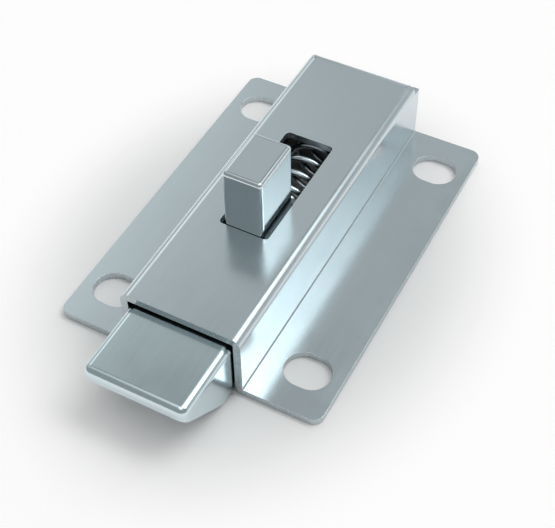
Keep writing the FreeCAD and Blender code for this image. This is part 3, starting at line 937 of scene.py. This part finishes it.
@dataclass(frozen=True)
class Opening:
    """An opening in the flat sheet: a rectangle with round corners, in the sheet's own coordinates.

    Attributes:
        u: place of its middle across the sheet.
        v: place of its middle along the sheet.
        half_u: half its length across.
        half_v: half its length along.
        corner: radius of its corners.
        collar: width of the ring of faces round it.
    """

    u: float
    v: float
    half_u: float
    half_v: float
    corner: float
    collar: float

    # Lines over a rounded corner and along a straight side, and the half length of a side that needs only
    # three. Then where the ring's rows lie, as shares of the way from the outline to the rectangle.
    CORNER_LINES = 9
    SIDE_LINES = 7
    SHORT_SIDE = 0.3
    ROWS = (0.0, 0.08, 0.25, 0.55, 1.0)

    def lines(self, along_v: bool) -> np.ndarray:
        """Grid lines that its ring of faces needs, close together where the outline turns."""
        middle, half = (self.v, self.half_v) if along_v else (self.u, self.half_u)
        core = half - self.corner
        turn = np.linspace(core, half + self.collar, self.CORNER_LINES)
        flat = np.linspace(-core, core, self.SIDE_LINES if core > self.SHORT_SIDE else 3)
        return middle + np.concatenate([-turn[::-1], flat, turn])

    def holds(self, u: np.ndarray, v: np.ndarray) -> np.ndarray:
        """True for the places inside the ring's outer rectangle."""
        across, along = np.abs(u - self.u), np.abs(v - self.v)
        return (across < self.half_u + self.collar) & (along < self.half_v + self.collar)

    def ring(self, u_lines: np.ndarray, v_lines: np.ndarray, grow: float) -> tuple[np.ndarray, np.ndarray]:
        """Fills the rectangle round the opening with faces.

        Each grid point p on the rectangle is joined to the outline point q + r (p - q) / |p - q|, where
        q is the nearest point of the rectangle of corner centres, and r the corner radius.

        Args:
            u_lines: grid lines across the sheet.
            v_lines: grid lines along the sheet.
            grow: width by which the outline is enlarged.

        Returns:
            Points of the flat sheet and the quads that join them.
        """
        reach_u = self.half_u + self.collar + LINE_ROUNDING
        reach_v = self.half_v + self.collar + LINE_ROUNDING
        across = u_lines[np.abs(u_lines - self.u) < reach_u] - self.u
        along = v_lines[np.abs(v_lines - self.v) < reach_v] - self.v
        low, high = np.full_like(across, along[0]), np.full_like(across, along[-1])
        left, right = np.full_like(along, across[0]), np.full_like(along, across[-1])
        frame = np.concatenate([
            np.stack([across, low], 1)[:-1], np.stack([right, along], 1)[:-1],
            np.stack([across, high], 1)[:0:-1], np.stack([left, along], 1)[:0:-1]])
        core = np.array([self.half_u - self.corner, self.half_v - self.corner])
        nearest = np.clip(frame, -core, core)
        outline = nearest + (self.corner + grow) * unit(frame - nearest)
        share = np.array(self.ROWS)[:, None, None]
        points = outline + share * (frame - outline) + np.array([self.u, self.v])
        quads = grid_quads(len(share), len(frame), close_columns=True)
        return points.reshape(-1, 2), quads[:, ::-1]


class Assembly(ABC):
    """A sub-assembly of the latch."""

    @abstractmethod
    def build(self, frame: dict) -> None:
        """Makes its piece and puts it in the place of its node, or dresses the node.

        Args:
            frame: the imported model, as loaded.
        """


@dataclass
class Housing(Assembly):
    """The folded sheet: a flat blank with its openings, folded into a channel, two flanges and a rear flap.

    All lengths are in millimetres. A place on the blank is (u, v, w): u across it from the middle, v
    along it, and w the depth below its skin.

    Attributes:
        bend: inner radius of the folds.
        flap_outer: place along Y of the flap's outer face.
        flap_half_width: half the flap's width, a little short of where a mitred corner would fold back.
        relief_run: length of the reliefs in front of the flap's fold.
        corner_setback: distance from the rear end at which the cut rear corners of the channel start.
        corner_drop: height of those corners below the top.
        fold_margin: distance of a line of the grid from the fold that it follows.
        edge_margin: distance of a line of the grid from the cut edge that it follows.
    """

    sheet: float = 1.5
    bend: float = 0.3
    edge_break: float = 0.07
    flange_width: float = 54.0
    length: float = 75.0
    flange_corner: float = 2.0
    channel_width: float = 21.0
    height: float = 15.0
    hole_side_margin: float = 6.75
    hole_end_margin: float = 9.0
    hole_length: float = 9.0
    hole_width: float = 7.5
    slot_width: float = 10.0
    slot_front: float = -15.0
    slot_rear: float = 12.0
    slot_corner: float = 0.75
    flap_outer: float = 36.5
    flap_half_width: float = 10.14
    flap_floor: float = 1.0
    relief_run: float = 0.3
    corner_setback: float = 2.0
    corner_drop: float = 2.0
    stud_hole_radius: float = 2.0
    stud_height: float = 6.85
    slot_collar: float = 2.2
    hole_collar: float = 1.5
    fold_margin: float = 0.04
    edge_margin: float = 0.4
    flap_margin: float = 0.5
    arc_steps: int = 14
    corner_steps: int = 8
    rim_steps: int = 4
    finish: Steel = SheetSteel("housing_rolled_sheet")

    def __post_init__(self) -> None:
        """Works out where the folds lie on the flat blank."""
        quarter = math.pi / 2
        self.fold = self.bend + self.sheet
        self.web = self.channel_width / 2 + self.sheet - self.fold
        self.wall_start = self.web + self.fold * quarter
        self.wall_run = self.height - 2 * self.fold
        self.wall_end = self.wall_start + self.wall_run
        self.flange_start = self.wall_end + self.bend * quarter
        self.flange_root = self.web + self.fold + self.bend
        self.flange_end = self.flange_start + self.flange_width / 2 - self.flange_root
        self.flap_start = self.flap_outer - self.fold
        self.flap_drop = self.flap_start + self.fold * quarter
        self.flap_end = self.flap_drop + self.height - self.fold - self.flap_floor
        self.strip_side = self.web + self.fold * math.asin((self.channel_width / 2 - self.web) / self.fold)
        self.strip_floor = self.wall_start + self.corner_drop - self.fold

    def folded(self, u: np.ndarray, v: np.ndarray, w: np.ndarray) -> np.ndarray:
        """Folds places of the blank into space.

        Across, the blank runs flat to the first fold, turns down round its arc, runs down the wall, turns
        out round the second arc and runs out along the flange. The skin's radius is large on the first
        arc and small on the second, and a depth w takes from the one and adds to the other. The flap
        turns down in the same way at the rear.

        Args:
            u: places across.
            v: places along.
            w: depths below the skin.

        Returns:
            Positions in millimetres, one row each.
        """
        out = np.abs(u)
        turn = np.clip((out - self.web) / self.fold, 0, math.pi / 2)
        back = np.clip((out - self.wall_end) / self.bend, 0, math.pi / 2)
        x = (np.minimum(out, self.web) + (self.fold - w) * np.sin(turn) + (self.bend + w) * (1 - np.cos(back))
             + np.maximum(out - self.flange_start, 0))
        z = (self.height - self.fold + (self.fold - w) * np.cos(turn)
             - np.clip(out - self.wall_start, 0, self.wall_run) - (self.bend + w) * np.sin(back))
        flap = (out < (self.flap_half_width + self.strip_side) / 2) & (v > self.flap_start)
        drop = np.clip((v - self.flap_start) / self.fold, 0, math.pi / 2)
        y = np.where(flap, self.flap_start + (self.fold - w) * np.sin(drop), v)
        z = np.where(flap, self.height - self.fold + (self.fold - w) * np.cos(drop)
                     - np.maximum(v - self.flap_drop, 0), z)
        return np.stack([np.copysign(x, u), y, z], axis=-1)

    def openings(self) -> list[Opening]:
        """The operating slot, the four fixing slots and the stud's hole, on the flat blank."""
        slot = Opening(0.0, (self.slot_front + self.slot_rear) / 2, self.slot_width / 2,
                       (self.slot_rear - self.slot_front) / 2, self.slot_corner, self.slot_collar)
        u = self.flange_end - self.hole_side_margin
        v = self.length / 2 - self.hole_end_margin
        long, wide, radius = self.hole_length / 2, self.hole_width / 2, self.stud_hole_radius
        fixing = [Opening(side * u, end * v, long, wide, wide, self.hole_collar)
                  for side in (-1, 1) for end in (-1, 1)]
        stud_v = self.flap_drop + self.height - self.fold - self.stud_height
        stud = Opening(0.0, stud_v, radius, radius, radius, self.hole_collar)
        return [slot, *fixing, stud]

    def grid_lines(self, openings: list[Opening]) -> tuple[np.ndarray, np.ndarray]:
        """Chooses the lines of the blank's grid, close together at folds, corners and openings.

        Args:
            openings: openings whose rings need lines.

        Returns:
            The lines across and along the blank.
        """
        inset, steps, beside, apart = self.edge_break, self.arc_steps, self.fold_margin, self.edge_margin
        corner = np.linspace(self.flange_corner, inset, self.corner_steps)
        end = self.length / 2
        half = np.concatenate([
            [0.0, self.flap_half_width - self.flap_margin, self.flap_half_width - inset, self.web],
            [self.web - beside, self.strip_side + inset], np.linspace(self.web, self.wall_start, steps),
            [self.wall_start + beside, self.strip_floor + inset],
            np.linspace(self.strip_floor + inset, self.wall_end - beside, self.corner_steps),
            np.linspace(self.wall_end, self.flange_start, steps), [self.flange_start + beside],
            self.flange_end - corner, [self.flange_end - inset - apart]])
        u_lines = np.concatenate([half, -half] + [hole.lines(False) for hole in openings])
        v_lines = np.concatenate([
            corner - end, end - corner, [inset + apart - end, end - inset - apart],
            [self.flap_start - self.relief_run - inset, self.length / 2 - self.corner_setback - inset],
            [self.flap_start - beside], np.linspace(self.flap_start, self.flap_drop, steps),
            [self.flap_drop + beside, self.flap_end - inset, self.flap_end - inset - apart],
            *[hole.lines(True) for hole in openings]])
        return np.unique(np.round(u_lines, LINE_PLACES)), np.unique(np.round(v_lines, LINE_PLACES))

    def blank(self) -> tuple[np.ndarray, np.ndarray]:
        """Lays out the skin of the flat blank, drawn in from every cut edge by the edge break.

        Whole cells of the grid are kept by where their middles lie. The flange corners are rounded by
        the map (a, b) max(a, b) / |(a, b)|, which bends a square's two outer sides into an arc.

        Returns:
            The blank's points as (u, v) and its quads.
        """
        openings = self.openings()
        u_lines, v_lines = self.grid_lines(openings)
        grid = np.stack(np.meshgrid(u_lines, v_lines), axis=-1).reshape(-1, 2)
        quads = grid_quads(len(v_lines), len(u_lines))
        u, v = grid[quads].mean(axis=1).T
        out, inset, end = np.abs(u), self.edge_break, self.length / 2
        kept = (np.abs(v) < end - inset) & (out < self.flange_end - inset)
        notch = self.flap_start - self.relief_run - inset
        kept &= (v < notch) | (out > self.strip_side + inset)
        kept &= (v < end - self.corner_setback - inset) | (out > self.strip_floor + inset)
        kept |= (out < self.flap_half_width - inset) & (v > 0) & (v < self.flap_end - inset)
        for hole in openings:
            kept &= ~hole.holds(u, v)
        rings = [hole.ring(u_lines, v_lines, inset) for hole in openings]
        starts = np.cumsum([len(grid)] + [len(points) for points, _ in rings])
        points = np.concatenate([grid] + [points for points, _ in rings])
        quads = np.concatenate([quads[kept]] + [q + first for (_, q), first in zip(rings, starts)])
        square = self.flange_corner - inset
        near = np.abs(points) - [self.flange_end - self.flange_corner, end - self.flange_corner]
        ratio = near / square
        # Points on the square's inner sides stay. Rounding can put those on its outer sides just beyond it.
        least, most = 1e-4, 1.001
        corner = within(ratio, least, most).all(axis=1)
        shrink = ratio.max(axis=1) / np.maximum(np.linalg.norm(ratio, axis=1), TINY)
        pulled = np.sign(points) * (np.abs(points) - near * (1 - shrink[:, None]))
        points = np.where(corner[:, None], pulled, points)
        keys = np.round(points, LINE_PLACES)
        _, first_of, shared = np.unique(keys, axis=0, return_index=True, return_inverse=True)
        quads = shared.reshape(-1)[quads]
        used, quads = np.unique(quads, return_inverse=True)
        return points[first_of][used], quads.reshape(-1, 4)

    def surface(self) -> tuple[np.ndarray, np.ndarray, np.ndarray]:
        """Gives the blank its thickness and its broken edges.

        The skin is repeated at full depth, and each cut edge is closed by rows of points that follow the
        edge's outward mitre: a quarter round of the edge break, a straight run and another quarter round.

        Returns:
            Places (u, v, w), the quads, and for each place 1 inside a cut edge and 0 where a face begins.
        """
        flat, skin = self.blank()
        count = len(flat)
        start = skin.ravel()
        end = np.roll(skin, -1, axis=1).ravel()
        free = ~np.isin(start * count + end, end * count + start)
        start, end = start[free], end[free]
        outward = unit((flat[end] - flat[start])[:, ::-1] * [1.0, -1.0])
        rim = np.unique(start)
        place = np.full(count, -1)
        place[rim] = np.arange(len(rim))
        leaving, coming = np.zeros((2, len(rim), 2))
        leaving[place[start]] = outward
        coming[place[end]] = outward
        mitre = (leaving + coming) / (1 + np.sum(leaving * coming, axis=1, keepdims=True))
        turn = np.linspace(0, math.pi / 2, self.rim_steps + 1)
        outs = self.edge_break * np.concatenate([np.sin(turn), np.cos(turn)])
        depths = np.concatenate([
            self.edge_break * (1 - np.cos(turn)), self.sheet - self.edge_break * (1 - np.sin(turn))])
        inner_rows = flat[rim] + outs[1:-1, None, None] * mitre
        inner_depths = np.broadcast_to(depths[1:-1, None, None], inner_rows.shape[:2] + (1,))
        between = np.concatenate([inner_rows, inner_depths], axis=-1).reshape(-1, 3)
        skins = [np.column_stack([flat, np.full(count, depth)]) for depth in (0.0, self.sheet)]
        places = np.concatenate([*skins, between])
        numbers = np.concatenate([
            rim[None], 2 * count + np.arange(len(between)).reshape(len(outs) - 2, -1), rim[None] + count])
        a, b = place[start], place[end]
        sides = np.stack([numbers[:-1, a], numbers[1:, a], numbers[1:, b], numbers[:-1, b]], axis=-1)
        quads = np.concatenate([skin, skin[:, ::-1] + count, sides.reshape(-1, 4)])
        cut = np.concatenate([np.zeros(2 * count), np.ones(len(between))])
        return places, quads, cut

    def build(self, frame: dict) -> None:
        """Folds the blank, and puts it in the place of the housing's node."""
        places, quads, cut = self.surface()
        points = self.folded(*places.T) * MM
        out, along = np.abs(places[:, 0]), places[:, 1]
        bent = within(out, self.web, self.wall_start) | within(out, self.wall_end, self.flange_start)
        bent |= (out < self.flap_half_width) & within(along, self.flap_start, self.flap_drop)
        made = mesh_object("housing_shell", points, face_outwards(points, quads), {
            "sheet_place": places * MM, "cut_edge": cut, "bent": bent.astype(float)}, broad=True)
        made.data.materials.append(self.finish.build())
        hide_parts("housing")
        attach(made, "housing")
        log.info("housing folded: %d faces", len(quads))


@dataclass
class Dressed(Assembly):
    """A sub-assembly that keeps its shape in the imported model, and gets a finish."""

    node: str
    finish: Steel

    def build(self, frame: dict) -> None:
        """Puts the finish in the slots of the node."""
        material = self.finish.build()
        for slot in frame["nodes"][self.node].material_slots:
            slot.material = material
        log.info("%s dressed", self.node)


@dataclass
class Bolt(Dressed):
    """The sliding bar with its bevelled nose."""

    node: str = "bolt"
    # Behind sheltered_from the bar's colour is darkened: painted shade inside the channel.
    finish: Steel = BarSteel(
        "bolt_ground_bar", tint=(0.64, 0.74, 0.77), roughness=0.15, sheltered_from=-0.0369,
        low=(-0.0102, -0.0528, 0.0009), high=(0.0102, -0.0017, 0.0128))


@dataclass
class Knob(Dressed):
    """The rectangular thumb piece."""

    node: str = "knob"
    finish: Steel = BarSteel(
        "knob_ground_bar", roughness=0.11, stretch=(1.0, 1.0, 0.02),
        low=(-0.004, -0.0149, 0.0), high=(0.004, -0.0031, 0.028), reach=0.0007)


@dataclass
class KnobScrew(Assembly):
    """The countersunk socket screw that holds the thumb piece from below, as one stack of rings.

    All lengths are in millimetres, and the screw stands on its head, as it is fitted.

    Attributes:
        head_face: height of the head's flat face.
        flats: width across the flats of the hexagon socket.
        socket_cone: depth of the cone in the floor of the socket.
        mouth: radius and depth of the chamfer at the socket's mouth, the radius in circles of mouth_unit.
        mouth_unit: radius of the circle that the mouth's size is counted in.
        head_rim: width and depth of the chamfer round the head.
        tip_rings: distance within the shank and depth below the tip of the rings that close the tip.
        shank_margins: lengths left out of the shank's rings, at the neck and at the tip.
        shank_rows: rings of points along the shank.
        thread_fade: length over which the thread grows to its full depth.
    """

    y: float = -9.0
    head_face: float = 1.1
    tip: float = 17.1
    radius: float = 2.5
    head_radius: float = 5.0
    flats: float = 3.0
    socket_depth: float = 1.9
    thread_start: float = 11.6
    thread_pitch: float = 0.8
    thread_depth: float = 0.42
    thread_fade: float = 0.6
    socket_cone: float = 0.35
    mouth: Pair = (1.32, 0.25)
    mouth_unit: float = 1.45
    head_rim: Pair = (0.12, 0.18)
    tip_rings: tuple[Pair, Pair] = ((0.7, 0.02), (0.8, 0.0))
    shank_margins: Pair = (0.35, 0.75)
    shank_rows: int = 170
    segments: int = 72
    finish: Steel = TurnedSteel("screw_turned_steel", tint=(0.51, 0.56, 0.58), roughness=0.26,
                                centre=(0.0, -0.009, 0.0), axis=(0.0, 0.0, 1.0))

    def build(self, frame: dict) -> None:
        """Makes the screw, and puts it in the place of its node.

        A ring's radius is that of a circle, but in the socket it is the apothem over the cosine of the
        angle from the nearest flat's middle, and on the thread it is drawn in by a wave that climbs one
        pitch for each turn.
        """
        face, radius = self.head_face, self.radius
        floor, neck = face + self.socket_depth, face + self.head_radius - radius
        outline = round_corners(np.array([
            [0.0, floor + self.socket_cone, 0.0], [1.0, floor, 0.05], [1.0, face + self.mouth[1], 0.02],
            [self.mouth[0], face, 0.03], [self.head_radius - self.head_rim[0], face, 0.08],
            [self.head_radius, face + self.head_rim[1], 0.05], [radius, neck, 0.0]]))
        run = np.linspace(neck + self.shank_margins[0], self.tip - self.shank_margins[1], self.shank_rows)
        shank = np.stack([np.full_like(run, radius), run], axis=1)
        end = [[radius - inset, self.tip - depth] for inset, depth in self.tip_rings]
        profile = np.concatenate([outline, shank, end, [[0.0, self.tip]]])
        turn, cos, sin = circle(self.segments)
        hexagon = self.flats / 2 / np.cos(np.mod(turn, math.pi / 3) - math.pi / 6)
        size, height = profile[:, :1], profile[:, 1:]
        # In the socket a size is a share of the hexagon, and the mouth's chamfer starts just beyond 1.
        socket_end, slack = 1.001, 0.01
        in_socket = (np.arange(len(profile)) < np.argmax(profile[:, 0] > socket_end))[:, None]
        width = np.where(in_socket, size * hexagon, size)
        mouth = within(size, socket_end, radius) & (height < face + self.mouth[1] - slack)
        width = np.where(mouth, np.maximum(size * self.mouth_unit, hexagon), width)
        wave = 0.5 - 0.5 * np.cos(2 * math.pi * (height - self.thread_start) / self.thread_pitch - turn)
        fade = np.clip((height - self.thread_start) / self.thread_fade, 0, 1) * (size > radius - 1e-6)
        width = width - self.thread_depth * wave**1.5 * fade
        points = np.stack([width * cos, self.y + width * sin, np.broadcast_to(height, width.shape)], axis=-1)
        points = points.reshape(-1, 3) * MM
        quads = face_outwards(points, grid_quads(len(profile), self.segments, close_columns=True))
        made = mesh_object("screw_turned", points, quads, broad=True)
        made.data.materials.append(self.finish.build())
        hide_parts("knob_screw")
        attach(made, "bolt")
        log.info("screw turned")


@dataclass
class SpringStud(Assembly):
    """The riveted stud on the flap that keeps the spring centred, turned about its own axis.

    All lengths are in millimetres.

    Attributes:
        centre_mark: radius and depth of the mark in the spigot's tip.
        dimple: radius and depth of the dimple in the riveted head.
    """

    height: float = 6.85
    tip: float = 32.0
    flap_inner: float = 35.0
    flap_outer: float = 36.5
    end: float = 37.4
    spigot_radius: float = 4.2
    spigot_chamfer: float = 0.6
    shank_radius: float = 1.97
    head_radius: float = 3.25
    centre_mark: Pair = (0.55, 0.45)
    dimple: Pair = (1.0, 0.16)
    segments: int = 72
    finish: Steel = TurnedSteel("stud_turned_steel", tint=(0.56, 0.62, 0.645), roughness=0.24,
                                centre=(0.0, 0.0, 0.00685), axis=(0.0, 1.0, 0.0))

    def build(self, frame: dict) -> None:
        """Turns the stud, and puts it in the place of its node.

        The profile goes from the spigot's tip, with its chamfer and centre mark, over the shank to the
        domed head, whose middle is dimpled by the riveting punch.
        """
        spigot, shank, head = self.spigot_radius, self.shank_radius, self.head_radius
        profile = round_corners(np.array([
            [0.0, self.tip + self.centre_mark[1], 0.0], [self.centre_mark[0], self.tip, 0.08],
            [spigot - self.spigot_chamfer, self.tip, 0.15], [spigot, self.tip + self.spigot_chamfer, 0.15],
            [spigot, self.flap_inner, 0.08], [shank, self.flap_inner, 0.03], [shank, self.flap_outer, 0.03],
            [head, self.flap_outer, 0.06], [head, self.end, 0.65], [self.dimple[0], self.end, 0.35],
            [0.0, self.end - self.dimple[1], 0.0]]), 8)
        axis_point, along = np.array([0.0, 0.0, self.height]) * MM, np.array([0.0, 1.0, 0.0])
        points, quads = lathe(profile * MM, axis_point, along, self.segments)
        made = mesh_object("stud_turned", points, face_outwards(points, quads), broad=True)
        made.data.materials.append(self.finish.build())
        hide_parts("spring_stud")
        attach(made, "housing")
        log.info("stud turned")


@dataclass
class Spring(Assembly):
    """The compression spring: wire wound to the right, with a closed coil at each end.

    All lengths are in millimetres.

    Attributes:
        seat_gap: room between the wire and its seats, and between the turns of a closed coil.
        ease: turns from an end at which the pitch starts to open, and turns that it takes.
        end_share: radius of the wire's last ring but one, against that of the wire.
    """

    wire: float = 1.2
    mean_diameter: float = 10.2
    pitch: float = 4.1
    seat_gap: float = 0.03
    front_seat: float = -1.7
    rear_seat: float = 35.0
    height: float = 6.85
    travel: float = 15.0
    ease: Pair = (0.75, 0.5)
    end_share: float = 0.82
    steps_per_turn: int = 64
    steps_round: int = 24
    finish: Steel = Steel("spring_drawn_wire", tint=(0.51, 0.56, 0.585), roughness=0.16, place=Place.WIRE,
                          stretch=(1.0, 1.0, 0.02), fineness=9000.0, grain_tone=0.05, relief=4e-7)

    def build(self, frame: dict) -> None:
        """Winds the spring, and puts it in the place of its node.

        The middle of the wire is at (R sin a, y, z + R cos a) with a = 2 pi (turn - 1/4), and y is the sum
        of a pitch that eases from the closed one to the open one a turn from each end. The wire is a
        circle across that line, spanned by the direction from the axis and the one square to it.
        """
        start = self.front_seat + self.wire / 2 + self.seat_gap
        end = self.rear_seat - self.wire / 2 - self.seat_gap
        closed = self.wire + self.seat_gap
        turns = (end - start - 2 * closed) / self.pitch + 2
        turn = np.linspace(0, turns, int(turns * self.steps_per_turn))
        share = np.clip((np.minimum(turn, turns - turn) - self.ease[0]) / self.ease[1], 0, 1)
        rate = closed + (self.pitch - closed) * share**2 * (3 - 2 * share)
        sums = np.concatenate([[0.0], np.cumsum((rate[1:] + rate[:-1]) / 2)])
        y = start + (end - start) * sums / sums[-1]
        angle = 2 * math.pi * (turn - 0.25)
        away = np.stack([np.sin(angle), np.zeros_like(angle), np.cos(angle)], axis=1)
        middle = self.mean_diameter / 2 * away + np.stack([0 * y, y, 0 * y + self.height], axis=1)
        along = unit(np.gradient(middle, axis=0))
        square = np.cross(along, away)
        scale = np.concatenate([[0.0, self.end_share], np.ones(len(turn)), [self.end_share, 0.0]])
        row = np.clip(np.arange(len(scale)) - 2, 0, len(turn) - 1)
        _, cos, sin = circle(self.steps_round)
        ring = cos[:, None] * away[row][:, None] + sin[:, None] * square[row][:, None]
        points = middle[row][:, None] + (self.wire / 2 * scale)[:, None, None] * ring
        length = np.concatenate([[0.0], np.cumsum(np.linalg.norm(np.diff(middle, axis=0), axis=1))])[row]
        place = np.stack(np.broadcast_arrays(
            cos * self.wire / 2, sin * self.wire / 2, length[:, None]), axis=-1)
        points = points.reshape(-1, 3) * MM
        quads = face_outwards(points, grid_quads(len(scale), self.steps_round, close_columns=True))
        made = mesh_object("spring_coil", points, quads, {"wire_place": place.reshape(-1, 3) * MM})
        made.data.materials.append(self.finish.build())
        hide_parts("spring")
        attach(made, "housing")
        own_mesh(made)
        log.info("spring wound: %.2f turns", turns)


def main() -> None:
    """Builds the studio and dresses the object, piece by piece."""
    for leftover in list(bpy.data.objects):
        bpy.data.objects.remove(leftover)
    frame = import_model()
    Studio().build()
    for assembly in (Housing(), Bolt(), Knob(), KnobScrew(), SpringStud(), Spring()):
        assembly.build(frame)


if __name__ == "__main__":
    logging.basicConfig(level=logging.INFO, format="%(name)s: %(message)s")
    main()
